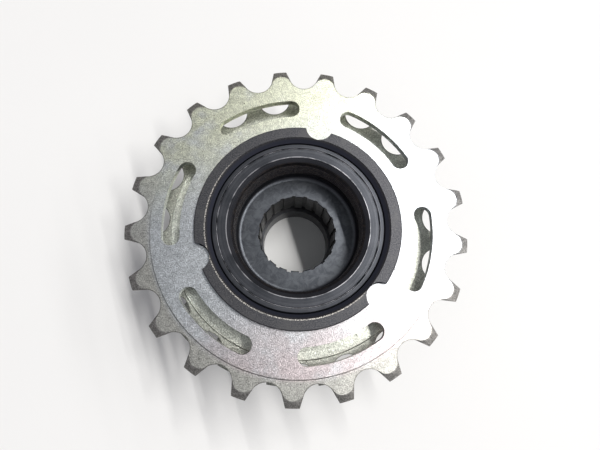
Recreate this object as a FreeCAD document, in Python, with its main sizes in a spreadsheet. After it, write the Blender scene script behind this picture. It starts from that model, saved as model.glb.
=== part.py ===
import FreeCAD, Part
import math
import os

import Sketcher
from FreeCAD import Placement, Rotation, Vector

# A six-speed bicycle freewheel: a ratcheting block of sprockets that screws onto a rear hub.
# Z is the axis of rotation and points inboard, towards the hub. The freewheel stands on its
# outboard end at Z = 0. Lengths are in millimetres and angles in degrees.

SIZES = {
    # chain and sprocket teeth
    "chain_pitch": 12.7,
    "seat_radius": 3.95,
    "deep_seat_radius": 4.4,
    "seat_half_angle": 68.0,
    "tip_height": 1.4,
    "tip_width": 3.5,
    "tooth_thickness": 2.0,
    "dome_radius": 2.75,
    "dome_inset": 1.7,
    "dome_slope": 0.33,
    "dome_sweep": 150,
    # sprocket plates, counted from the largest, which is the furthest inboard
    "sprocket_step": 5.5,
    "top_tooth_face": 31.5,
    "plate_thickness": 2.0,
    "disc_rise": 0.9,
    "disc_inset": 1.35,
    "shoulder_run": 0.35,
    "fit_gap": 0.05,
    "clear_gap": 0.1,
    "tool_reach": 1.0,
    "slot_circle": 32.2,
    "slot_width": 4.6,
    "slot_half_angle": 15.9,
    "slot_angle": 49.0,
    "boss_overhang": 0.2,
    "wide_spacer_wall": 3.2,
    "narrow_spacer_wall": 1.8,
    # driver: the outer body, which carries the sprockets
    "flange_radius": 26.2,
    "flange_top": 33.9,
    "flange_bore": 23.4,
    "barrel_radius": 25.4,
    "barrel_end": 19.4,
    "groove_radius": 3.5,
    "tab_radius": 3.25,
    "tab_circle": 26.8,
    "tab_angle": 77.8,
    "middle_thread_radius": 24.0,
    "middle_thread_end": 13.0,
    "small_thread_radius": 22.0,
    "small_thread_end": 7.5,
    "end_thread_radius": 20.3,
    "driver_end": 1.5,
    "driver_bore": 19.35,
    "driver_collar": 15.6,
    "collar_gap": 0.3,
    "throat_level": 32.6,
    "edge_chamfer": 0.25,
    # ratchet cut inside the driver
    "ratchet_root": 21.3,
    "ratchet_low": 12.5,
    "ratchet_high": 19.5,
    "ratchet_angle": 11.0,
    "ratchet_crest": 1.5,
    "ratchet_floor": 2.5,
    # rows of balls
    "ball_radius": 1.5875,
    "race_radius": 1.65,
    "inboard_row_radius": 20.5,
    "inboard_row_level": 28.6,
    "outboard_row_radius": 16.9,
    "outboard_row_level": 5.6,
    # core: the inner body, which screws onto the hub
    "core_top": 32.7,
    "lip_radius": 21.98,
    "face_groove_radius": 20.68,
    "core_radius": 18.85,
    "core_end_radius": 15.2,
    "core_end": 4.4,
    "core_shoulder": 9.6,
    "face_groove_half": 0.2,
    "face_groove_depth": 0.25,
    "mouth_radius": 18.3,
    "mouth_depth": 0.9,
    "thread_lead_in": 0.35,
    "hub_thread_radius": 16.95,
    "hub_thread_high": 31.4,
    "hub_thread_low": 24.35,
    "relief_radius": 16.6,
    "floor_level": 21.85,
    "floor_fillet": 1.2,
    "spline_land_radius": 10.4,
    "spline_groove_radius": 10.85,
    "spline_groove_width": 1.15,
    "spline_angle": 5.2,
    "spline_low": 10.5,
    "spline_chamfer": 0.2,
    "cone_thread_radius": 12.5,
    # lock cone, screwed into the core's outboard end with a left-hand thread
    "cone_bore": 9.95,
    "cone_sleeve_top": 7.4,
    "cone_flange_radius": 17.6,
    "cone_flange_top": 3.9,
    "cone_race_lip": 0.7,
    "pin_hole_radius": 1.25,
    "pin_hole_circle": 14.0,
    "pin_hole_depth": 2.2,
    "shim_thickness": 0.25,
    "seal_low": 1.7,
    "seal_height": 1.0,
    "seal_inset": 0.15,
    # pawls
    "pawl_heel_radius": 1.5,
    "pawl_heel_circle": 16.9,
    "pawl_heel_angle": 144.0,
    "pawl_length": 8.66,
    "pawl_folded_angle": 52.2,
    "pawl_low": 13.2,
    "pawl_height": 5.6,
    "pawl_back_setback": 1.39,
    "pawl_back_offset": 1.71,
    "pocket_gap": 0.2,
    "heel_seat_gap": 0.06,
    "pocket_tip_gap": 0.4,
    "pocket_mouth_run": 2.0,
    "pocket_mouth_rise": 2.5,
    "pocket_back_x": 6.0,
    "pocket_back_y": 5.0,
    "notch_heel_height": 0.85,
    "notch_bend_x": 4.5,
    "notch_bend_height": 0.3,
    "notch_tip_depth": 1.25,
    "notch_run_out": 0.6,
    "spring_level": 16.0,
    "wire_radius": 0.35,
    "spring_radius": 18.3,
    "spring_groove_height": 1.1,
    "spring_sweep": 338,
}

SPROCKET_TEETH = [21, 19, 17, 15, 14, 13]
TOOTH_ANGLES = [10.52, 14.4, 3.0, 7.0, 12.0, 9.0]   # where one tooth of each sprocket stands
RATCHET_TEETH = 24
SPLINES = 20
SLOTS = 6
TABS = 3
PAWLS = 2
DEEP_CUT = 19                                       # the sprocket whose gaps are cut deeper
INBOARD_BALLS = 38
OUTBOARD_BALLS = 31

doc = FreeCAD.newDocument("Freewheel")
sheet = doc.addObject("Spreadsheet::Sheet", "Sizes")
for row, (alias, value) in enumerate(SIZES.items(), start=1):
    sheet.set(f"A{row}", alias)
    sheet.set(f"B{row}", str(value))
    sheet.setAlias(f"B{row}", alias)
doc.recompute()


# ------------------------------------------------------------------ working with the sheet

def bound(expression):
    """The expression with the sheet's name put before every driving dimension."""
    parts = []
    word = ""
    for letter in f"{expression} ":
        if letter.isalnum() or letter in "_.":
            word += letter
        else:
            parts += [f"Sizes.{word}" if word in SIZES else word, letter]
            word = ""
    return "".join(parts).strip()


def number(expression):
    """What an expression of driving dimensions comes to."""
    value = sheet.evalExpression(bound(expression))
    return float(getattr(value, "Value", value))


def bind(thing, prop, expression):
    """Ties a property of an object to an expression of driving dimensions."""
    thing.setExpression(prop, bound(expression))


# ------------------------------------------------------------------ sketches and features

def new_body(label):
    body = doc.addObject("PartDesign::Body", label)
    body.Label = label
    return body


def new_sketch(body, name, role, level="0", turn="0"):
    """A sketch on one of the body's own planes, turned about Z and, if level, raised along Z."""
    plane = next(f for f in body.Origin.OriginFeatures if f.Role == role)
    sketch = body.newObject("Sketcher::SketchObject", f"{body.Name}_{name}")
    sketch.AttachmentSupport = [(plane, "")]
    sketch.MapMode = "FlatFace"
    # an upright sketch's own Y axis is the body's Z axis
    axis = Vector(0, 0, 1) if role == "XY_Plane" else Vector(0, 1, 0)
    raised = Vector(0, 0, number(level)) if role == "XY_Plane" else Vector()
    sketch.AttachmentOffset = Placement(raised, Rotation(axis, number(turn)))
    if role == "XY_Plane":
        bind(sketch, "AttachmentOffset.Base.z", level)
    bind(sketch, "AttachmentOffset.Rotation.Angle", turn)
    return sketch


def pin_coordinate(sketch, kind, edge, end, expression):
    """Binds one coordinate of an edge's end to an expression."""
    index = sketch.addConstraint(
        Sketcher.Constraint(kind, -1, 1, edge, end, number(expression))
    )
    bind(sketch, f"Constraints[{index}]", expression)


def add_outline(sketch, corners):
    """A closed outline. Each corner is (x, y), or (x, y, centre x, centre y, turn) when the edge
    that starts there is an arc, whose turn is +1 anticlockwise or -1 clockwise."""
    ends = []
    for here, after in zip(corners, corners[1:] + corners[:1]):
        start = Vector(number(here[0]), number(here[1]), 0)
        finish = Vector(number(after[0]), number(after[1]), 0)
        if len(here) == 2:
            edge = sketch.addGeometry(Part.LineSegment(start, finish), False)
            ends.append((edge, 1, 2))
            continue
        centre_x, centre_y, turn = here[2:]
        centre = Vector(number(centre_x), number(centre_y), 0)
        first, last = (start, finish) if turn > 0 else (finish, start)
        angles = [math.atan2(p.y - centre.y, p.x - centre.x) for p in (first, last)]
        circle = Part.Circle(centre, Vector(0, 0, 1), (start - centre).Length)
        edge = sketch.addGeometry(Part.ArcOfCircle(circle, *angles), False)
        ends.append((edge, 1, 2) if turn > 0 else (edge, 2, 1))
        # with both ends pinned, the centre is free along one line only
        chord = finish - start
        if abs(chord.y) >= abs(chord.x):
            pin_coordinate(sketch, "DistanceX", edge, 3, centre_x)
        else:
            pin_coordinate(sketch, "DistanceY", edge, 3, centre_y)
    for (edge, start, finish), (after, after_start, _) in zip(ends, ends[1:] + ends[:1]):
        sketch.addConstraint(Sketcher.Constraint("Coincident", edge, finish, after, after_start))
    for corner, (edge, start, _) in zip(corners, ends):
        pin_coordinate(sketch, "DistanceX", edge, start, corner[0])
        pin_coordinate(sketch, "DistanceY", edge, start, corner[1])


def add_circle(sketch, x, y, radius):
    centre = Vector(number(x), number(y), 0)
    circle = Part.Circle(centre, Vector(0, 0, 1), number(radius))
    edge = sketch.addGeometry(circle, False)
    index = sketch.addConstraint(Sketcher.Constraint("Radius", edge, number(radius)))
    bind(sketch, f"Constraints[{index}]", radius)
    pin_coordinate(sketch, "DistanceX", edge, 3, x)
    pin_coordinate(sketch, "DistanceY", edge, 3, y)


def turned_feature(body, kind, name, sketch):
    """A full Revolution or Groove about the body's Z axis."""
    feature = body.newObject(f"PartDesign::{kind}", f"{body.Name}_{name}")
    feature.Profile = sketch
    feature.ReferenceAxis = (sketch, ["V_Axis"])
    feature.Angle = 360
    sketch.Visibility = False
    body.Tip = feature
    return feature


def revolve(body, corners):
    """Revolves a half-section, whose corners are (radius, level)."""
    sketch = new_sketch(body, "section", "XZ_Plane")
    add_outline(sketch, corners)
    return turned_feature(body, "Revolution", "turned", sketch)


def cut_race(body, name, radius, level):
    """Cuts a round ball track about the Z axis."""
    sketch = new_sketch(body, f"{name}_section", "XZ_Plane")
    add_circle(sketch, radius, level, "race_radius")
    return turned_feature(body, "Groove", name, sketch)


def straight_feature(body, kind, name, sketch, length, upwards=False):
    """A Pad or a Pocket of one length. Without upwards, a pad rises and a pocket sinks."""
    feature = body.newObject(f"PartDesign::{kind}", f"{body.Name}_{name}")
    feature.Profile = sketch
    feature.Length = number(length)
    bind(feature, "Length", length)
    feature.Reversed = upwards
    sketch.Visibility = False
    body.Tip = feature
    return feature


def repeat(body, feature, count):
    """Repeats a feature round the Z axis."""
    axis = next(f for f in body.Origin.OriginFeatures if f.Role == "Z_Axis")
    pattern = body.newObject("PartDesign::PolarPattern", f"{feature.Name}_pattern")
    pattern.Originals = [feature]
    pattern.Axis = (axis, [""])
    pattern.Angle = 360
    pattern.Occurrences = count
    body.Tip = pattern
    return pattern


def ring(label, inner, outer, low, height):
    """A plain ring: one cylinder cut out of another."""
    cylinders = []
    for name, radius in (("outside", outer), ("inside", inner)):
        cylinder = doc.addObject("Part::Cylinder", f"{label}_{name}")
        bind(cylinder, "Radius", radius)
        bind(cylinder, "Height", height)
        cylinders.append(cylinder)
    cut = doc.addObject("Part::Cut", label)
    cut.Label = label
    cut.Base, cut.Tool = cylinders
    bind(cut, "Placement.Base.z", low)
    return cut


# ------------------------------------------------------------------ sprockets and spacers

def tooth_face(index):
    """Level of the inboard face of a sprocket's teeth."""
    return f"(top_tooth_face - {index} * sprocket_step)"


def plate_top(index):
    return f"({tooth_face(index)} + disc_rise)"


def plate_bottom(index):
    return f"({tooth_face(index)} + disc_rise - plate_thickness)"


def pitch_radius(teeth):
    return f"(chain_pitch / (2 * sin(180 deg / {teeth})))"


def tip_radius(teeth):
    return f"({pitch_radius(teeth)} + tip_height)"


def root_radius(teeth):
    return f"({pitch_radius(teeth)} - seat_radius)"


def toothed_rim(teeth, index):
    """The rim of a sprocket's half-section, from its inboard to its outboard face."""
    tip = tip_radius(teeth)
    high = tooth_face(index)
    return [(tip, high), (tip, f"{high} - tooth_thickness")]


def cut_teeth(body, teeth, index, tooth_angle):
    """Cuts the gap between two teeth, a roller seat with straight flanks, and repeats it."""
    pitch, tip = pitch_radius(teeth), tip_radius(teeth)
    gap_angle = f"{tooth_angle} + 180 / {teeth}"
    level = f"{tooth_face(index)} + tooth_thickness"
    sketch = new_sketch(body, "gap_outline", "XY_Plane", level, gap_angle)
    seat = "deep_seat_radius" if teeth == DEEP_CUT else "seat_radius"
    half_gap = f"(180 deg / {teeth} - asin(tip_width / 2 / {tip}))"
    flank_x, flank_y = f"{tip} * cos({half_gap})", f"{tip} * sin({half_gap})"
    seat_x = f"{pitch} - {seat} * cos(seat_half_angle * 1 deg)"
    seat_y = f"({seat} * sin(seat_half_angle * 1 deg))"
    outside = f"{tip} + chain_pitch / 4"
    add_outline(sketch, [
        (seat_x, seat_y, pitch, "0", 1),
        (seat_x, f"-{seat_y}"),
        (flank_x, f"-({flank_y})"),
        (outside, f"-({flank_y})"),
        (outside, flank_y),
        (flank_x, flank_y),
    ])
    gap = straight_feature(body, "Pocket", "gap", sketch, "4 * tooth_thickness")
    repeat(body, gap, teeth)


def bevel_teeth(body, teeth, index, tooth_angle):
    """Bevels both faces of each tooth outside a dome, a circle that the two flanks touch."""
    sketch = new_sketch(body, "bevel_section", "XZ_Plane", turn=tooth_angle)
    centre = f"({tip_radius(teeth)} - dome_inset - dome_radius)"
    line = Part.LineSegment(Vector(number(centre), 0, 0), Vector(number(centre), 1, 0))
    axis = sketch.addGeometry(line, True)
    for end, height in ((1, "0"), (2, "1")):
        pin_coordinate(sketch, "DistanceX", axis, end, centre)
        pin_coordinate(sketch, "DistanceY", axis, end, height)
    high = tooth_face(index)
    low = f"({high} - tooth_thickness)"
    start = f"{centre} + dome_radius"
    reach = "(2 * dome_inset)"
    for face, outwards in ((high, 1), (low, -1)):
        add_outline(sketch, [
            (start, face),
            (f"{start} + {reach}", f"{face} - {outwards} * {reach} * dome_slope"),
            (f"{start} + {reach}", f"{face} + {outwards}"),
            (start, f"{face} + {outwards}"),
        ])
    bevel = turned_feature(body, "Groove", "bevel", sketch)
    bevel.ReferenceAxis = (sketch, ["Axis0"])
    bevel.Angle = number("dome_sweep")
    bind(bevel, "Angle", "dome_sweep")
    bevel.Midplane = True
    repeat(body, bevel, teeth)


def add_tabs(body, index):
    """Round tabs inside the bore, which slide in the driver's grooves."""
    sketch = new_sketch(body, "tab_outline", "XY_Plane", plate_bottom(index), "tab_angle")
    add_circle(sketch, "tab_circle", "0", "tab_radius")
    tab = straight_feature(body, "Pad", "tab", sketch, "plate_thickness")
    repeat(body, tab, TABS)


def cut_slots(body, index):
    """Arc slots with round ends in the sprocket's plate."""
    level = f"{plate_top(index)} + plate_thickness"
    sketch = new_sketch(body, "slot_outline", "XY_Plane", level, "slot_angle")
    outer, inner = "(slot_circle + slot_width / 2)", "(slot_circle - slot_width / 2)"
    across, along = "cos(slot_half_angle * 1 deg)", "sin(slot_half_angle * 1 deg)"
    end_x, end_y = f"slot_circle * {across}", f"slot_circle * {along}"
    add_outline(sketch, [
        (f"{outer} * {across}", f"-{outer} * {along}", "0", "0", 1),
        (f"{outer} * {across}", f"{outer} * {along}", end_x, end_y, 1),
        (f"{inner} * {across}", f"{inner} * {along}", "0", "0", -1),
        (f"{inner} * {across}", f"-{inner} * {along}", end_x, f"-{end_y}", 1),
    ])
    slot = straight_feature(body, "Pocket", "slot", sketch, "4 * plate_thickness")
    repeat(body, slot, SLOTS)


def plate_sprocket(index, slotted=False):
    """A pressed sprocket with a raised middle, held by tabs in the driver's grooves."""
    teeth = SPROCKET_TEETH[index]
    body = new_body(f"sprocket_{teeth}t")
    edge = f"({root_radius(teeth)} - disc_inset)"
    foot = f"({edge} + shoulder_run)"
    low = f"{tooth_face(index)} - tooth_thickness"
    bore = "barrel_radius + fit_gap"
    revolve(body, [
        (bore, plate_top(index)),
        (edge, plate_top(index)),
        (foot, tooth_face(index)),
        *toothed_rim(teeth, index),
        (f"{edge} + edge_chamfer", low),
        (f"{edge} - shoulder_run", plate_bottom(index)),
        (bore, plate_bottom(index)),
    ])
    add_tabs(body, index)
    if slotted:
        cut_slots(body, index)
    cut_teeth(body, teeth, index, TOOTH_ANGLES[index])
    bevel_teeth(body, teeth, index, TOOTH_ANGLES[index])
    return body


def screwed_sprocket(index, thread, low):
    """A turned sprocket with a boss, screwed onto the driver."""
    teeth = SPROCKET_TEETH[index]
    body = new_body(f"sprocket_{teeth}t")
    bore = f"{thread} + fit_gap"
    boss = f"{root_radius(teeth)} - edge_chamfer"
    chamfered = f"{boss} - edge_chamfer"
    tooth_low = f"{tooth_face(index)} - tooth_thickness"
    revolve(body, [
        (bore, plate_top(index)),
        (chamfered, plate_top(index)),
        (boss, f"{plate_top(index)} - edge_chamfer"),
        (boss, tooth_face(index)),
        *toothed_rim(teeth, index),
        (chamfered, tooth_low),
        (chamfered, low),
        (bore, low),
    ])
    cut_teeth(body, teeth, index, TOOTH_ANGLES[index])
    bevel_teeth(body, teeth, index, TOOTH_ANGLES[index])
    return body


def boss_end(thread_end):
    """A boss reaches a little past its thread, so that the spacer below clamps the boss."""
    return f"{thread_end} - boss_overhang"


def build_sprockets():
    parts = [plate_sprocket(0, slotted=True), plate_sprocket(1), plate_sprocket(2)]
    parts.append(screwed_sprocket(3, "middle_thread_radius", boss_end("middle_thread_end")))
    parts.append(screwed_sprocket(4, "small_thread_radius", boss_end("small_thread_end")))
    parts.append(screwed_sprocket(5, "end_thread_radius", "driver_end"))
    return parts


def build_spacers():
    """The rings between neighbouring sprockets, each clamped between two plates."""
    seats = [
        ("barrel_radius", "wide_spacer_wall", plate_bottom(0)),
        ("barrel_radius", "wide_spacer_wall", plate_bottom(1)),
        ("middle_thread_radius", "narrow_spacer_wall", "barrel_end"),
        ("small_thread_radius", "narrow_spacer_wall", boss_end("middle_thread_end")),
        ("end_thread_radius", "narrow_spacer_wall", boss_end("small_thread_end")),
    ]
    parts = []
    for index, (seat, wall, high) in enumerate(seats):
        label = f"spacer_{SPROCKET_TEETH[index]}t_{SPROCKET_TEETH[index + 1]}t"
        low = plate_top(index + 1)
        parts.append(ring(label, f"{seat} + fit_gap", f"{seat} + {wall}", low, f"{high} - {low}"))
    return parts


# ------------------------------------------------------------------ driver

def build_driver():
    """The outer body: flange, sprocket barrel, stepped threads, ratchet and ball cups."""
    body = new_body("outer_body")
    ball_room = "inboard_row_radius + race_radius + fit_gap"
    cup_room = "outboard_row_radius + race_radius"
    revolve(body, [
        ("flange_bore", "flange_top"),
        ("flange_radius - edge_chamfer", "flange_top"),
        ("flange_radius", "flange_top - edge_chamfer"),
        ("flange_radius", plate_top(0)),
        ("barrel_radius", plate_top(0)),
        ("barrel_radius", "barrel_end"),
        ("middle_thread_radius", "barrel_end"),
        ("middle_thread_radius", "middle_thread_end"),
        ("small_thread_radius", "middle_thread_end"),
        ("small_thread_radius", "small_thread_end"),
        ("end_thread_radius", "small_thread_end"),
        ("end_thread_radius", "driver_end"),
        (cup_room, "driver_end"),
        (cup_room, "outboard_row_level"),
        ("outboard_row_radius", "outboard_row_level"),
        ("outboard_row_radius", "outboard_row_level + race_radius"),
        ("driver_collar", "outboard_row_level + race_radius"),
        ("driver_collar", "core_shoulder - collar_gap"),
        ("driver_bore", "core_shoulder - collar_gap"),
        ("driver_bore", "inboard_row_level - race_radius"),
        ("inboard_row_radius", "inboard_row_level - race_radius"),
        ("inboard_row_radius", "inboard_row_level"),
        (ball_room, "inboard_row_level"),
        (ball_room, "throat_level"),
    ])
    cut_race(body, "inboard_cup", "inboard_row_radius", "inboard_row_level")
    cut_race(body, "outboard_cup", "outboard_row_radius", "outboard_row_level")
    grooves = new_sketch(body, "groove_outline", "XY_Plane", "flange_top + tool_reach", "tab_angle")
    add_circle(grooves, "tab_circle", "0", "groove_radius")
    groove = straight_feature(
        body, "Pocket", "groove", grooves, "flange_top + tool_reach - barrel_end"
    )
    repeat(body, groove, TABS)
    cut_ratchet(body)
    return body


def cut_ratchet(body):
    """Saw teeth inside the bore: a steep face to drive by and a long ramp to slip over."""
    pitch = 360 / RATCHET_TEETH
    sketch = new_sketch(body, "ratchet_outline", "XY_Plane", "ratchet_high", "ratchet_angle")
    inside = "(driver_bore - tool_reach)"
    ramp_end = f"(({pitch} - ratchet_crest) * 1 deg)"
    ramp_start = "(ratchet_floor * 1 deg)"
    add_outline(sketch, [
        (inside, "0"),
        ("ratchet_root", "0"),
        (f"ratchet_root * cos{ramp_start}", f"ratchet_root * sin{ramp_start}"),
        (f"driver_bore * cos{ramp_end}", f"driver_bore * sin{ramp_end}"),
        (f"{inside} * cos{ramp_end}", f"{inside} * sin{ramp_end}"),
    ])
    tooth = straight_feature(body, "Pocket", "ratchet", sketch, "ratchet_high - ratchet_low")
    repeat(body, tooth, RATCHET_TEETH)


# ------------------------------------------------------------------ core, cone, shims, seal

def build_core():
    """The inner body: hub thread, removal splines, pawl pockets and the inboard ball race."""
    body = new_body("inner_body")
    lip_under = "inboard_row_level + race_radius"
    revolve(body, [
        ("cone_thread_radius", "core_end"),
        ("core_end_radius", "core_end"),
        ("core_end_radius", "core_shoulder"),
        ("core_radius", "core_shoulder"),
        ("core_radius", "inboard_row_level"),
        ("inboard_row_radius", "inboard_row_level"),
        ("inboard_row_radius", lip_under),
        ("lip_radius", lip_under),
        ("lip_radius", "core_top - edge_chamfer"),
        ("lip_radius - edge_chamfer", "core_top"),
        ("face_groove_radius + face_groove_half", "core_top"),
        ("face_groove_radius", "core_top - face_groove_depth"),
        ("face_groove_radius - face_groove_half", "core_top"),
        ("mouth_radius", "core_top"),
        ("hub_thread_radius + thread_lead_in", "core_top - mouth_depth"),
        ("hub_thread_radius + thread_lead_in", "hub_thread_high + edge_chamfer"),
        ("hub_thread_radius", "hub_thread_high"),
        ("hub_thread_radius", "hub_thread_low"),
        ("relief_radius", "hub_thread_low"),
        ("relief_radius", "floor_level + floor_fillet",
         "relief_radius - floor_fillet", "floor_level + floor_fillet", -1),
        ("relief_radius - floor_fillet", "floor_level"),
        ("spline_land_radius + spline_chamfer", "floor_level"),
        ("spline_land_radius", "floor_level - spline_chamfer"),
        ("spline_land_radius", "spline_low"),
        ("cone_thread_radius", "spline_low"),
    ])
    cut_race(body, "inboard_race", "inboard_row_radius", "inboard_row_level")
    cut_spline_grooves(body)
    cut_pawl_pockets(body)
    section = new_sketch(body, "spring_section", "XZ_Plane")
    high = "spring_level + spring_groove_height / 2"
    low = "spring_level - spring_groove_height / 2"
    depth, outside = "spring_radius - wire_radius - clear_gap", "core_radius + tool_reach"
    add_outline(section, [(depth, low), (outside, low), (outside, high), (depth, high)])
    turned_feature(body, "Groove", "spring_groove", section)
    return body


def cut_spline_grooves(body):
    """Narrow grooves between the broad lands that a removal tool's splines run between."""
    sketch = new_sketch(body, "spline_outline", "XY_Plane", "floor_level + tool_reach",
                        "spline_angle")
    inside, half = "spline_land_radius - tool_reach", "spline_groove_width / 2"
    add_outline(sketch, [
        (inside, f"-{half}"), ("spline_groove_radius", f"-{half}"),
        ("spline_groove_radius", half), (inside, half),
    ])
    groove = straight_feature(
        body, "Pocket", "spline", sketch, "floor_level + tool_reach - spline_low"
    )
    repeat(body, groove, SPLINES)


def heel_place(level, turn=0):
    """A frame at a pawl's heel, with X along the folded pawl."""
    circle = number("pawl_heel_circle")
    angle = math.radians(number("pawl_heel_angle") + turn)
    heel = Vector(circle * math.cos(angle), circle * math.sin(angle), number(level))
    along = Rotation(Vector(0, 0, 1), number("pawl_folded_angle") + turn)
    return Placement(heel, along)


def cut_pawl_pockets(body):
    """A pocket for each pawl: a round heel seat and room for the pawl to fold down into."""
    top = "pawl_low + pawl_height + pocket_gap"
    seat = new_sketch(body, "heel_seat", "XY_Plane", top, "pawl_folded_angle")
    seat.AttachmentOffset = heel_place(top)
    bind(seat, "AttachmentOffset.Base.x", "pawl_heel_circle * cos(pawl_heel_angle * 1 deg)")
    bind(seat, "AttachmentOffset.Base.y", "pawl_heel_circle * sin(pawl_heel_angle * 1 deg)")
    seat_radius = "(pawl_heel_radius + heel_seat_gap)"
    tip = "pawl_length"
    add_outline(seat, [
        ("0", seat_radius, "0", "0", 1),
        ("0", f"-{seat_radius}"),
        (f"{tip} - pawl_back_setback + pocket_gap", "-pawl_back_offset - pocket_gap"),
        (f"{tip} + pocket_tip_gap", "0"),
        (f"{tip} + pocket_mouth_run", "pocket_mouth_rise"),
        ("pocket_back_x", "pocket_back_y"),
    ])
    pocket = straight_feature(body, "Pocket", "pawl_pocket", seat,
                              "pawl_height + 2 * pocket_gap")
    repeat(body, pocket, PAWLS)


def build_pawl(label, turn):
    """A pawl, folded down: round heel, tapering body, square tip, and a notch for the spring."""
    body = new_body(label)
    outline = new_sketch(body, "outline", "XY_Plane", "pawl_low")
    heel, tip = "pawl_heel_radius", "pawl_length"
    add_outline(outline, [
        ("0", heel, "0", "0", 1),
        ("0", f"-{heel}"),
        (f"{tip} - pawl_back_setback", "-pawl_back_offset"),
        (tip, "0"),
    ])
    straight_feature(body, "Pad", "blank", outline, "pawl_height")
    notch_top = "spring_level + spring_groove_height / 2"
    notch = new_sketch(body, "notch_outline", "XY_Plane", notch_top)
    left, above = f"-({heel} + notch_run_out)", f"2 * {heel}"
    right = f"{tip} + notch_run_out"
    add_outline(notch, [
        (left, "notch_heel_height"), ("notch_bend_x", "notch_bend_height"),
        (right, "-notch_tip_depth"), (right, above), (left, above),
    ])
    straight_feature(body, "Pocket", "notch", notch, "spring_groove_height")
    body.Placement = heel_place("0", turn)
    return body


def build_lock_cone():
    """The left-hand threaded cone that closes the outboard bearing."""
    body = new_body("lock_cone")
    wall, lip = "core_end_radius + clear_gap", "outboard_row_level - cone_race_lip"
    revolve(body, [
        ("cone_bore + edge_chamfer", "0"),
        ("cone_flange_radius - edge_chamfer", "0"),
        ("cone_flange_radius", "edge_chamfer"),
        ("cone_flange_radius", "outboard_row_level - race_radius"),
        ("outboard_row_radius", "outboard_row_level - race_radius"),
        ("outboard_row_radius", lip),
        (wall, lip),
        (wall, "cone_flange_top"),
        ("cone_thread_radius - fit_gap", "cone_flange_top"),
        ("cone_thread_radius - fit_gap", "cone_sleeve_top - edge_chamfer"),
        ("cone_thread_radius - 2 * edge_chamfer", "cone_sleeve_top"),
        ("cone_bore", "cone_sleeve_top"),
        ("cone_bore", "edge_chamfer"),
    ])
    cut_race(body, "outboard_race", "outboard_row_radius", "outboard_row_level")
    holes = new_sketch(body, "pin_hole_outline", "XY_Plane")
    add_circle(holes, "pin_hole_circle", "0", "pin_hole_radius")
    hole = straight_feature(body, "Pocket", "pin_hole", holes, "pin_hole_depth", upwards=True)
    repeat(body, hole, 2)
    return body


def build_rings():
    """The shims under the lock cone's shoulder and the outboard dust seal."""
    outer, inner = "core_end_radius - clear_gap", "cone_thread_radius + fit_gap"
    parts = []
    for number_from_cone, label in enumerate(("shim_outboard", "shim_inboard")):
        low = f"cone_flange_top + {number_from_cone} * shim_thickness"
        parts.append(ring(label, inner, outer, low, "shim_thickness"))
    parts.append(ring("dust_seal", "cone_flange_radius + seal_inset",
                      "outboard_row_radius + race_radius", "seal_low", "seal_height"))
    return parts


# ------------------------------------------------------------------ balls and spring

def build_ball_row(label, count, row_radius, level):
    """One row of loose balls, kept as a group of separate solids."""
    balls = []
    for index in range(count):
        angle = math.radians(360 * index / count)
        radius = number(row_radius)
        centre = Vector(radius * math.cos(angle), radius * math.sin(angle), number(level))
        balls.append(Part.makeSphere(number("ball_radius"), centre))
    row = doc.addObject("Part::Feature", label)
    row.Label = label
    row.Shape = Part.makeCompound(balls)
    return row


def build_spring():
    """The open wire ring that presses both pawls outwards."""
    wire = doc.addObject("Part::Torus", "pawl_spring")
    wire.Label = "pawl_spring"
    bind(wire, "Radius1", "spring_radius")
    bind(wire, "Radius2", "wire_radius")
    bind(wire, "Angle3", "spring_sweep")
    bind(wire, "Placement.Base.z", "spring_level")
    return wire


# ------------------------------------------------------------------ the whole freewheel

def build_all():
    parts = [build_core(), build_lock_cone(), build_driver()]
    parts += build_rings() + build_sprockets() + build_spacers()
    parts += [build_pawl("pawl_a", 0), build_pawl("pawl_b", 360 / PAWLS)]
    parts.append(build_spring())
    parts.append(build_ball_row("inboard_balls", INBOARD_BALLS,
                                "inboard_row_radius", "inboard_row_level"))
    parts.append(build_ball_row("outboard_balls", OUTBOARD_BALLS,
                                "outboard_row_radius", "outboard_row_level"))
    return parts


def check(parts):
    """Stops if anything in the document failed or a part has no valid shape."""
    for thing in doc.Objects:
        if {"Invalid", "Error"} & set(thing.State):
            raise RuntimeError(f"{thing.Label} failed: {thing.State}")
    for part in parts:
        if part.Shape.isNull() or not part.Shape.isValid():
            raise RuntimeError(f"{part.Label} has no valid shape")


def export(parts):
    os.makedirs("parts", exist_ok=True)
    for part in parts:
        part.Shape.exportStep(os.path.join("parts", f"{part.Label}.step"))
        print(f"{part.Label}: {len(part.Shape.Solids)} solids, {part.Shape.Volume:.1f} mm3")


all_parts = build_all()
doc.recompute()
check(all_parts)
export(all_parts)
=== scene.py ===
import math

import bmesh
import bpy
from mathutils import Matrix, Vector


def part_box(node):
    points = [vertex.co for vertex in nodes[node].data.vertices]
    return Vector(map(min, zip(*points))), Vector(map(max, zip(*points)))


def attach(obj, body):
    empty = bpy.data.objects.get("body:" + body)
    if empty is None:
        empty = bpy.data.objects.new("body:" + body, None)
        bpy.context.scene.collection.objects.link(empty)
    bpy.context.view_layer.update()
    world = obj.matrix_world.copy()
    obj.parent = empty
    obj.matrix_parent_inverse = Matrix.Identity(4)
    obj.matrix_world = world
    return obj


# The looks of a bicycle freewheel that lies on a pale table, outboard end down. Lengths are in
# metres, in the frame's own axes: Z is the axis of rotation and points up, towards the viewer.

MM = 0.001
DEG = math.pi / 180

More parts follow.
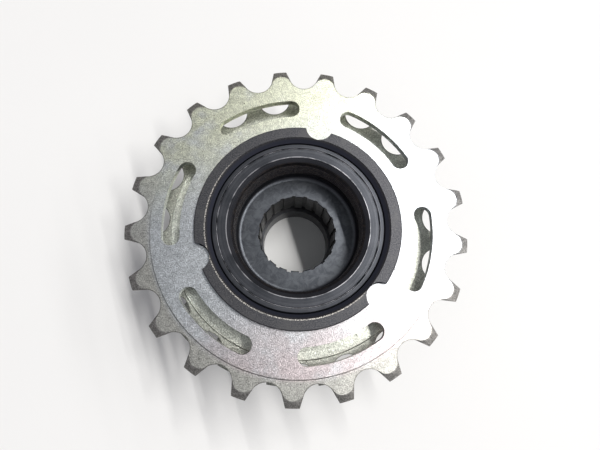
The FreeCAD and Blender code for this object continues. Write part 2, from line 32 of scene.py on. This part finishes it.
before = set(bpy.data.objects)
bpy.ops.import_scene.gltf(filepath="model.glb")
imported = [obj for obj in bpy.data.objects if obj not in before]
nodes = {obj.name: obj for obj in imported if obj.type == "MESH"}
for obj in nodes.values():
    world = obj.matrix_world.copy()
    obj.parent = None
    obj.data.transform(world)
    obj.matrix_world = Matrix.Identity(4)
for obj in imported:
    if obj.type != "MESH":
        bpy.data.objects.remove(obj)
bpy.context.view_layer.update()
MIDDLE = Vector((0, 0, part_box("sprocket_21t")[1].z))   # on the axis, at the large sprocket's top

# where one tooth of each sprocket stands, in degrees, by the sprocket's number of teeth
TOOTH_ANGLES = {21: 10.52, 19: 14.4, 17: 3.0, 15: 7.0, 14: 12.0, 13: 9.0}
CHAIN_PITCH = 12.7 * MM
ROLLER_SEAT = 3.95 * MM      # radius of the gaps between teeth
DEEP_SEAT = 4.4 * MM         # the same on the 19-tooth sprocket, whose gaps are cut deeper
DOME_RADIUS = 2.75 * MM      # of the flat on a tooth's face, which its bevel runs round
DOME_REACH = 3.05 * MM       # from the pitch circle in to the dome's centre
RIM_RADIUS = 39 * MM         # past the large sprocket's disc, where its rim's tint is full

# edges and levels of the driver and the core that their materials follow
FLANGE_TOP = 33.9 * MM
FLANGE_MOUTH = 23.5 * MM
CORE_TOP = 32.7 * MM
FACE_GROOVE = 20.68 * MM
CORE_MOUTH = 18.3 * MM
FLOOR_LEVEL = 21.85 * MM
FLOOR_RADIUS = 16.3 * MM
SPLINE_EDGE = 11.6 * MM      # just outside the splines' grooves

# the thread that takes the hub, cut in the core's mouth
THREAD_ROOT = 17.0 * MM
THREAD_CREST = 16.62 * MM
THREAD_LOW = 24.5 * MM
THREAD_HIGH = 31.2 * MM
THREAD_PITCH = 25.4 / 24 * MM


# ------------------------------------------------------------------ node trees

def feed(tree, socket, value):
    """Gives an input socket a value, or links it to the output socket that feeds it."""
    if isinstance(value, bpy.types.NodeSocket):
        tree.links.new(value, socket)
    else:
        socket.default_value = value


def node(tree, kind, inputs=None, **settings):
    """Adds a shader node. Inputs are values, or the output sockets that feed them."""
    made = tree.nodes.new(f"ShaderNode{kind}")
    for key, value in settings.items():
        setattr(made, key, value)
    for key, value in (inputs or {}).items():
        feed(tree, made.inputs[key], value)
    return made


def maths(tree, operation, first, second=0.0):
    return node(tree, "Math", {0: first, 1: second}, operation=operation).outputs[0]


def times(tree, first, second):
    return maths(tree, "MULTIPLY", first, second)


def step(tree, value, low, high):
    """Changes smoothly from 0 at low to 1 at high, whichever of the two is larger."""
    falls = low > high
    low, high = sorted((low, high))
    inputs = {"Value": value, "From Min": low, "From Max": high,
              "To Min": float(falls), "To Max": float(not falls)}
    return node(tree, "MapRange", inputs, interpolation_type="SMOOTHSTEP").outputs[0]


def band(tree, value, low, high, edge):
    """1 between low and high, 0 outside, with soft edges."""
    return times(tree, step(tree, value, low - edge, low), step(tree, value, high + edge, high))


def between(tree, factor, low, high):
    """Goes from low to high as the factor goes from 0 to 1."""
    return node(tree, "MapRange", {"Value": factor, "To Min": low, "To Max": high}).outputs[0]


def blend(tree, factor, first, second):
    """Goes from the first colour to the second as the factor goes from 0 to 1."""
    made = node(tree, "Mix", data_type="RGBA")
    feed(tree, made.inputs[0], factor)
    for key, colour in ((6, first), (7, second)):
        linked = isinstance(colour, bpy.types.NodeSocket)
        feed(tree, made.inputs[key], colour if linked else (*colour, 1))
    return made.outputs[2]


def scaled(tree, colour, factor):
    """A colour made darker or lighter by a factor."""
    return node(tree, "VectorMath", {0: colour, "Scale": factor}, operation="SCALE").outputs[0]


def noise(tree, vector, size, detail=2.0, roughness=0.5, distortion=0.0):
    """Noise whose features are about this size, in metres."""
    inputs = {"Vector": vector, "Scale": 1 / size, "Detail": detail,
              "Roughness": roughness, "Distortion": distortion}
    return node(tree, "TexNoise", inputs).outputs[0]


def lathe_marks(s, spacing):
    """Noise that runs along a turned part's profile and so makes rings round its axis."""
    position = maths(s.tree, "ADD", s.radius, s.z)
    inputs = {"W": position, "Scale": 1 / spacing, "Detail": 3}
    return node(s.tree, "TexNoise", inputs, noise_dimensions="1D").outputs[0]


def specks(tree, vector, spacing, radius, share):
    """Small round dots: some cells of a Voronoi texture hold one, the rest none."""
    cells = node(tree, "TexVoronoi", {"Vector": vector, "Scale": 1 / spacing})
    chosen = node(tree, "SeparateColor", {0: cells.outputs["Color"]})
    size = times(tree, chosen.outputs[1], radius / spacing)
    dot = maths(tree, "LESS_THAN", cells.outputs["Distance"], size)
    return times(tree, dot, maths(tree, "LESS_THAN", chosen.outputs[0], share))


def bump(tree, height, depth, strength):
    """A normal for a surface whose height runs over this depth, in metres."""
    inputs = {"Height": height, "Distance": depth, "Strength": strength}
    return node(tree, "Bump", inputs).outputs[0]


class Surface:
    """A new material with the coordinates that its nodes share."""

    def __init__(self, name):
        self.material = bpy.data.materials.new(name)
        self.material.use_nodes = True
        self.tree = self.material.node_tree
        self.shader = self.tree.nodes["Principled BSDF"]
        self.place = node(self.tree, "TexCoord").outputs["Object"]
        split = node(self.tree, "SeparateXYZ", {0: self.place}).outputs
        self.x, self.y, self.z = split[0], split[1], split[2]
        flat = node(self.tree, "VectorMath", {0: self.place, 1: (1, 1, 0)}, operation="MULTIPLY")
        length = node(self.tree, "VectorMath", {0: flat.outputs[0]}, operation="LENGTH")
        self.radius = length.outputs["Value"]

    def along(self, angle):
        """How far a point is from the axis in one direction across it."""
        inputs = {0: self.place, 1: (math.cos(angle), math.sin(angle), 0)}
        return node(self.tree, "VectorMath", inputs, operation="DOT_PRODUCT").outputs["Value"]

    def finish(self, colour, metallic, roughness, normal=None):
        self.shader.inputs["Metallic"].default_value = metallic
        feed(self.tree, self.shader.inputs["Base Color"], colour)
        feed(self.tree, self.shader.inputs["Roughness"], roughness)
        if normal is not None:
            feed(self.tree, self.shader.inputs["Normal"], normal)
        return self.material


# ------------------------------------------------------------------ materials

def tooth_masks(s, teeth):
    """Two masks that repeat with the teeth: the bevel round each tooth's end, and the edge of
    each gap between two teeth."""
    tree = s.tree
    half = math.pi / teeth
    pitch_radius = CHAIN_PITCH / 2 / math.sin(half)
    angle = maths(tree, "ARCTAN2", s.y, s.x)
    angle = maths(tree, "SUBTRACT", angle, TOOTH_ANGLES[teeth] * DEG)
    folded = node(tree, "Math", {0: angle, 1: half, 2: -half}, operation="WRAP").outputs[0]
    folded = maths(tree, "ABSOLUTE", folded)
    out = times(tree, s.radius, maths(tree, "COSINE", folded))
    across = times(tree, s.radius, maths(tree, "SINE", folded))
    spot = node(tree, "CombineXYZ", {0: out, 1: across}).outputs[0]
    dome = (pitch_radius - DOME_REACH, 0, 0)
    gap = (pitch_radius * math.cos(half), pitch_radius * math.sin(half), 0)
    from_dome, from_gap = (
        node(tree, "VectorMath", {0: spot, 1: centre}, operation="DISTANCE").outputs["Value"]
        for centre in (dome, gap)
    )
    bevel = step(tree, from_dome, DOME_RADIUS - 0.15 * MM, DOME_RADIUS + 0.5 * MM)
    # the bevel lies on the outer side of the dome only
    outer = step(tree, out, dome[0] + 0.8 * MM, dome[0] + 1.6 * MM)
    seat = DEEP_SEAT if teeth == 19 else ROLLER_SEAT
    edge = step(tree, from_gap, seat + 0.3 * MM, seat + 0.05 * MM)
    return times(tree, bevel, outer), edge


def zinc(name, teeth, plain, tints, rim_tint, speck_share, painted_bevel_shade):
    """Zinc-plated steel: a coarse crystalline grain, cloudy tints and small black specks, and
    painted shade on the bevel round each tooth's end. Each tint is a colour, the direction it lies
    in, and the distances it comes in between; a tint can be a painted reflection."""
    s = Surface(name)
    tree = s.tree
    grain = noise(tree, s.place, 0.3 * MM, 2, 0.75)
    coarse = noise(tree, s.place, 1.0 * MM, 3, 0.65)
    cloud = noise(tree, s.place, 7 * MM, 3, 0.6)
    colour = blend(tree, step(tree, cloud, 0.3, 0.7), plain, [c * 0.85 for c in plain])
    # tints are laid on towards their directions; a painted reflection comes in this way too
    for tint, angle, low, high in tints:
        reach = step(tree, s.along(angle), low, high)
        patchy = times(tree, reach, step(tree, cloud, 0.15, 0.55))
        colour = blend(tree, patchy, colour, tint)
    if rim_tint:
        rim = times(tree, step(tree, s.radius, RIM_RADIUS - 2.5 * MM, RIM_RADIUS),
                    step(tree, s.along(-110 * DEG), -20 * MM, 25 * MM))
        colour = blend(tree, rim, colour, rim_tint)
    bevel, edge = tooth_masks(s, teeth)
    # painted shade: the bevel round each tooth's end is darkened, as its slope turns it from the
    # light
    colour = blend(tree, times(tree, bevel, 0.85), colour, painted_bevel_shade)
    sparkle = between(tree, step(tree, grain, 0.32, 0.68), 0.5, 1.1)
    patches = between(tree, step(tree, coarse, 0.3, 0.7), 0.78, 1.08)
    colour = scaled(tree, colour, times(tree, sparkle, patches))
    colour = scaled(tree, colour, between(tree, edge, 1.0, 0.4))
    dirt = specks(tree, s.place, 1.6 * MM, 0.17 * MM, speck_share)
    colour = blend(tree, dirt, colour, (0.03, 0.03, 0.028))
    rough = between(tree, grain, 0.27, 0.5)
    height = maths(tree, "ADD", grain, times(tree, coarse, 0.6))
    return s.finish(colour, 1.0, rough, bump(tree, height, 0.045 * MM, 0.9))


def phosphate():
    """The driver's dark phosphate coat, worn bright on the edge of its mouth, with a painted
    highlight on that edge where it faces the lamps, and painted shade on every face below the
    flange's top.
    """
    s = Surface("phosphated_steel")
    tree = s.tree
    grain = noise(tree, s.place, 0.3 * MM, 3, 0.6)
    cloud = noise(tree, s.place, 5 * MM, 3, 0.6)
    colour = blend(tree, step(tree, grain, 0.35, 0.7), (0.042, 0.043, 0.049), (0.1, 0.1, 0.105))
    colour = blend(tree, step(tree, cloud, 0.45, 0.75), colour, (0.085, 0.085, 0.087))
    half_width = 0.12 * MM
    rubbed_and_lit = band(tree, s.radius, FLANGE_MOUTH - half_width, FLANGE_MOUTH + half_width, 0.08 * MM)
    # painted highlight as well as wear: the bright line is kept only on the -X, -Y side, where the
    # mouth's chamfer faces the lamps
    rubbed_and_lit = times(tree, rubbed_and_lit, step(tree, s.along(225 * DEG), -4 * MM, 9 * MM))
    rubbed_and_lit = times(tree, rubbed_and_lit, step(tree, grain, 0.42, 0.6))
    colour = blend(tree, rubbed_and_lit, colour, (0.6, 0.57, 0.52))
    # painted shade: every face below the flange's top, its chamfer and walls, is darker and bluer,
    # as these stand in shade
    painted_wall_shade = step(tree, s.z, FLANGE_TOP - 0.15 * MM, FLANGE_TOP - 0.7 * MM)
    colour = blend(tree, painted_wall_shade, colour, (0.05, 0.055, 0.075))
    return s.finish(colour, 0.85, 0.48, bump(tree, grain, 0.03 * MM, 0.6))


def blackened():
    """The core's blackened steel: lathe rings, bright worn edges, and a dirty hub thread."""
    s = Surface("blackened_steel")
    tree = s.tree
    rings = lathe_marks(s, 0.14 * MM)
    cloud = noise(tree, s.place, 5 * MM, 4, 0.6)
    grain = noise(tree, s.place, 0.3 * MM, 2, 0.6)
    colour = blend(tree, step(tree, cloud, 0.3, 0.75), (0.04, 0.043, 0.05), (0.06, 0.063, 0.072))
    colour = blend(tree, step(tree, rings, 0.55, 0.75), colour, (0.105, 0.11, 0.12))

    # the floor below the thread is smudged and paler
    floor = times(tree, step(tree, s.radius, FLOOR_RADIUS, FLOOR_RADIUS - 1 * MM),
                  step(tree, s.z, FLOOR_LEVEL - 0.65 * MM, FLOOR_LEVEL - 0.25 * MM))
    smudge = step(tree, noise(tree, s.place, 2.2 * MM, 4, 0.7, 1.0), 0.35, 0.65)
    smudged = blend(tree, smudge, (0.06, 0.065, 0.075), (0.1, 0.108, 0.12))
    colour = blend(tree, floor, colour, smudged)

    # the splines are smudged with grime, and darker the deeper they are: partly grime, partly
    # painted shade, as light reaches them only through the mouth
    splines = times(tree, step(tree, s.radius, SPLINE_EDGE + 0.8 * MM, SPLINE_EDGE),
                    step(tree, s.z, FLOOR_LEVEL, FLOOR_LEVEL - 0.25 * MM))
    # painted shade, partly grime: the lands darken to 0.15 of their colour towards the outboard end
    shade = between(tree, step(tree, s.z, 12 * MM, 21.4 * MM), 0.15, 1.0)
    lands = blend(tree, smudge, (0.06, 0.06, 0.064), (0.14, 0.14, 0.145))
    colour = blend(tree, splines, colour, scaled(tree, lands, shade))

    # grease and rust in the hub thread
    thread = times(tree, step(tree, s.radius, THREAD_ROOT + 0.35 * MM, THREAD_ROOT + 0.15 * MM),
                   step(tree, s.z, THREAD_LOW - 0.6 * MM, THREAD_LOW + 0.1 * MM))
    grease = blend(tree, rust(s), (0.02, 0.02, 0.023), (0.055, 0.046, 0.039))
    colour = blend(tree, thread, colour, grease)

    # worn edges of the mouth and of the groove in the face
    for radius, half_width in ((CORE_MOUTH, 0.09 * MM), (FACE_GROOVE, 0.07 * MM)):
        worn = band(tree, s.radius, radius - half_width, radius + half_width, 0.05 * MM)
        worn = times(tree, worn, step(tree, s.z, CORE_TOP - 0.5 * MM, CORE_TOP - 0.3 * MM))
        worn = times(tree, worn, step(tree, cloud, 0.35, 0.6))
        colour = blend(tree, worn, colour, (0.42, 0.42, 0.44))
    height = maths(tree, "ADD", rings, grain)
    normal = bump(tree, height, 0.012 * MM, 0.6)
    return s.finish(colour, 0.9, between(tree, cloud, 0.32, 0.46), normal)


def rust(s):
    """Patches of rust in the hub thread."""
    return step(s.tree, noise(s.tree, s.place, 1.6 * MM, 5, 0.75, 1.5), 0.45, 0.66)


def threaded():
    """The ridge of the hub thread, greasy in its root and bare on its crest."""
    s = Surface("hub_thread_steel")
    tree = s.tree
    grain = noise(tree, s.place, 0.25 * MM, 3, 0.7)
    colour = blend(tree, rust(s), (0.024, 0.024, 0.028), (0.062, 0.052, 0.044))
    crest = step(tree, s.radius, THREAD_CREST + 0.12 * MM, THREAD_CREST)
    crest = times(tree, crest, step(tree, grain, 0.4, 0.6))
    colour = blend(tree, crest, colour, (0.17, 0.165, 0.165))
    return s.finish(colour, 0.85, 0.5, bump(tree, grain, 0.03 * MM, 0.7))


def cone_steel():
    """The lock cone's dark steel, with lathe rings."""
    s = Surface("cone_steel")
    tree = s.tree
    rings = lathe_marks(s, 0.16 * MM)
    cloud = noise(tree, s.place, 4 * MM, 4, 0.6)
    colour = blend(tree, step(tree, cloud, 0.35, 0.7), (0.07, 0.07, 0.075), (0.12, 0.125, 0.135))
    colour = blend(tree, step(tree, rings, 0.5, 0.72), colour, (0.17, 0.17, 0.175))
    rough = between(tree, cloud, 0.3, 0.46)
    return s.finish(colour, 0.9, rough, bump(tree, rings, 0.012 * MM, 0.5))


def plain_steel(name, colour, roughness):
    """Turned steel parts that are mostly out of sight."""
    s = Surface(name)
    tree = s.tree
    rings = lathe_marks(s, 0.2 * MM)
    cloud = noise(tree, s.place, 3 * MM, 3, 0.6)
    shade = blend(tree, step(tree, cloud, 0.3, 0.7), colour, [c * 0.75 for c in colour])
    rough = between(tree, cloud, roughness - 0.06, roughness + 0.08)
    return s.finish(shade, 1.0, rough, bump(tree, rings, 0.01 * MM, 0.4))


def nylon():
    """The outboard seal's black nylon."""
    s = Surface("seal_ring")
    tree = s.tree
    grain = noise(tree, s.place, 0.2 * MM, 2)
    colour = blend(tree, grain, (0.018, 0.018, 0.019), (0.03, 0.03, 0.031))
    return s.finish(colour, 0.0, 0.55, bump(tree, grain, 0.01 * MM, 0.4))


def tabletop():
    """The pale, faintly uneven table."""
    s = Surface("tabletop")
    tree = s.tree
    cloud = noise(tree, s.place, 60 * MM, 3, 0.5)
    colour = blend(tree, cloud, (0.8, 0.8, 0.79), (0.83, 0.83, 0.82))
    return s.finish(colour, 0.0, 0.6)


# ------------------------------------------------------------------ pieces

def dress(name, material, bevel):
    """Gives a CAD node its material and softly worn edges."""
    thing = nodes[name]
    for slot in thing.material_slots:
        slot.material = material
    if not thing.material_slots:
        thing.data.materials.append(material)
    edges = thing.modifiers.new("worn_edges", "BEVEL")
    edges.width = bevel
    edges.segments = 3
    edges.limit_method = "ANGLE"
    edges.angle_limit = 35 * DEG
    edges.harden_normals = True


def dress_all():
    blue_grey, brown_grey = (0.68, 0.71, 0.74), (0.53, 0.525, 0.49)
    # the first of these two tints is a painted reflection, lighter and greener towards +Y; the
    # second is the plating's own rosy tint towards -Y
    lime_reflection, rose = (0.73, 0.75, 0.6), (0.68, 0.6, 0.61)
    tints = [(lime_reflection, 110 * DEG, 10 * MM, 34 * MM), (rose, -80 * DEG, 14 * MM, 36 * MM)]
    # the last colour given here is painted shade for the tooth bevels
    plated = zinc("zinc_plated_steel", 21, blue_grey, tints, brown_grey, 0.12, (0.33, 0.32, 0.3))
    dress("sprocket_21t", plated, 0.18 * MM)
    # the second colour here is painted shade for the smaller sprockets' tooth bevels
    pale, dull_bevel_shade = (0.78, 0.8, 0.71), (0.3, 0.31, 0.27)
    for teeth in (19, 17, 15, 14, 13):
        plated = zinc(f"yellow_zinc_{teeth}t", teeth, pale, [], None, 0.6, dull_bevel_shade)
        dress(f"sprocket_{teeth}t", plated, 0.1 * MM)
    spacer = plain_steel("spacer_steel", (0.45, 0.45, 0.46), 0.4)
    for name in nodes:
        if name.startswith("spacer_"):
            dress(name, spacer, 0.15 * MM)
    dress("outer_body", phosphate(), 0.12 * MM)
    dress("inner_body", blackened(), 0.1 * MM)
    dress("lock_cone", cone_steel(), 0.12 * MM)
    hardened = plain_steel("hardened_steel", (0.35, 0.35, 0.37), 0.3)
    for name in ("pawl_a", "pawl_b"):
        dress(name, hardened, 0.08 * MM)
    dress("pawl_spring", plain_steel("spring_wire", (0.4, 0.4, 0.42), 0.3), 0.03 * MM)
    shims = plain_steel("shim_steel", (0.55, 0.55, 0.56), 0.35)
    for name in ("shim_outboard", "shim_inboard"):
        dress(name, shims, 0.02 * MM)
    balls = plain_steel("ball_steel", (0.7, 0.7, 0.72), 0.15)
    for name in ("inboard_balls", "outboard_balls"):
        dress(name, balls, 0.01 * MM)
    dress("dust_seal", nylon(), 0.1 * MM)


def build_thread():
    """The hub thread's ridge: a four-sided strip wound up the core's mouth."""
    per_turn = 120
    run_out = 0.25                 # of a turn, over which the ridge fades at each end
    half_root, half_crest = 0.46 * THREAD_PITCH, 0.06 * THREAD_PITCH
    count = round(per_turn * (THREAD_HIGH - THREAD_LOW) / THREAD_PITCH)
    mesh = bmesh.new()
    rows = []
    for index in range(count + 1):
        angle = 2 * math.pi * index / per_turn
        rise = min(1, min(index, count - index) / per_turn / run_out)
        # a little height is left at the very ends, so that the strip stays solid
        crest = THREAD_ROOT - (THREAD_ROOT - THREAD_CREST) * max(rise, 0.05)
        level = THREAD_LOW + THREAD_PITCH * index / per_turn
        profile = [(THREAD_ROOT, -half_root), (crest, -half_crest),
                   (crest, half_crest), (THREAD_ROOT, half_root)]
        rows.append([
            mesh.verts.new((radius * math.cos(angle), radius * math.sin(angle), level + height))
            for radius, height in profile
        ])
    sides = len(rows[0])
    for low, high in zip(rows, rows[1:]):
        for k in range(sides):
            after = (k + 1) % sides
            mesh.faces.new((low[k], low[after], high[after], high[k]))
    mesh.faces.new(rows[0][::-1])
    mesh.faces.new(rows[-1])
    bmesh.ops.recalc_face_normals(mesh, faces=mesh.faces)
    data = bpy.data.meshes.new("hub_thread_ridge")
    mesh.to_mesh(data)
    mesh.free()
    thread = bpy.data.objects.new("hub_thread_ridge", data)
    bpy.context.collection.objects.link(thread)
    data.materials.append(threaded())
    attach(thread, "core")


# ------------------------------------------------------------------ table, light and camera

def build_table():
    bpy.ops.mesh.primitive_plane_add(size=3.0)
    table = bpy.context.object
    table.name = "tabletop"
    table.data.materials.append(tabletop())


def strip_light(name, direction, distance, size, power, colour):
    """A long narrow lamp that faces the part, its length level and square to its direction."""
    data = bpy.data.lights.new(name, "AREA")
    data.shape = "RECTANGLE"
    data.size, data.size_y = size
    data.energy = power
    data.color = colour
    light = bpy.data.objects.new(name, data)
    towards = Vector(direction).normalized()
    level = Vector((-towards.y, towards.x, 0)).normalized()
    axes = Matrix((level, towards.cross(level), towards)).transposed().to_4x4()
    light.matrix_world = Matrix.Translation(MIDDLE + towards * distance) @ axes
    bpy.context.collection.objects.link(light)


def build_light():
    """Two long ceiling lamps to the part's right, in a pale and evenly lit room."""
    side, up = Vector((0.957, 0.2915, 0)), Vector((0, 0, 1))
    warm = (1, 0.985, 0.965)
    strip_light("near_lamp", side * 0.47 + up, 2.4, (2.4, 0.057), 56.0, warm)
    strip_light("far_lamp", side * 1.1 + up, 3.2, (2.8, 0.06), 13.0, warm)
    world = bpy.data.worlds.new("room")
    bpy.context.scene.world = world
    world.use_nodes = True
    tree = world.node_tree
    background = tree.nodes["Background"]
    direction = node(tree, "TexCoord").outputs["Generated"]
    height = node(tree, "SeparateXYZ", {0: direction}).outputs[2]
    climb = step(tree, height, 0.25, 0.98)
    colour = blend(tree, climb, (0.98, 0.92, 1.0), (0.93, 0.96, 1.0))
    feed(tree, background.inputs["Color"], colour)
    feed(tree, background.inputs["Strength"], between(tree, climb, 0.36, 0.38))


def build_camera():
    """Close above the part and a little to its -Y side, looking almost straight down."""
    eye = Vector((-4.33, -24.17, 142.77)) * MM
    right = Vector((0.9991, -0.0089, 0.0404))
    look = Vector((0.04135, 0.21472, -0.97580))
    up = right.cross(look)
    data = bpy.data.cameras.new("camera")
    data.sensor_width = 36
    data.lens = 26.7
    data.clip_start = 0.01
    camera = bpy.data.objects.new("camera", data)
    camera.matrix_world = Matrix.Translation(eye) @ Matrix((right, up, -look)).transposed().to_4x4()
    bpy.context.collection.objects.link(camera)
    bpy.context.scene.camera = camera


dress_all()
build_thread()
build_table()
build_light()
build_camera()
bpy.context.scene.view_settings.view_transform = "Standard"
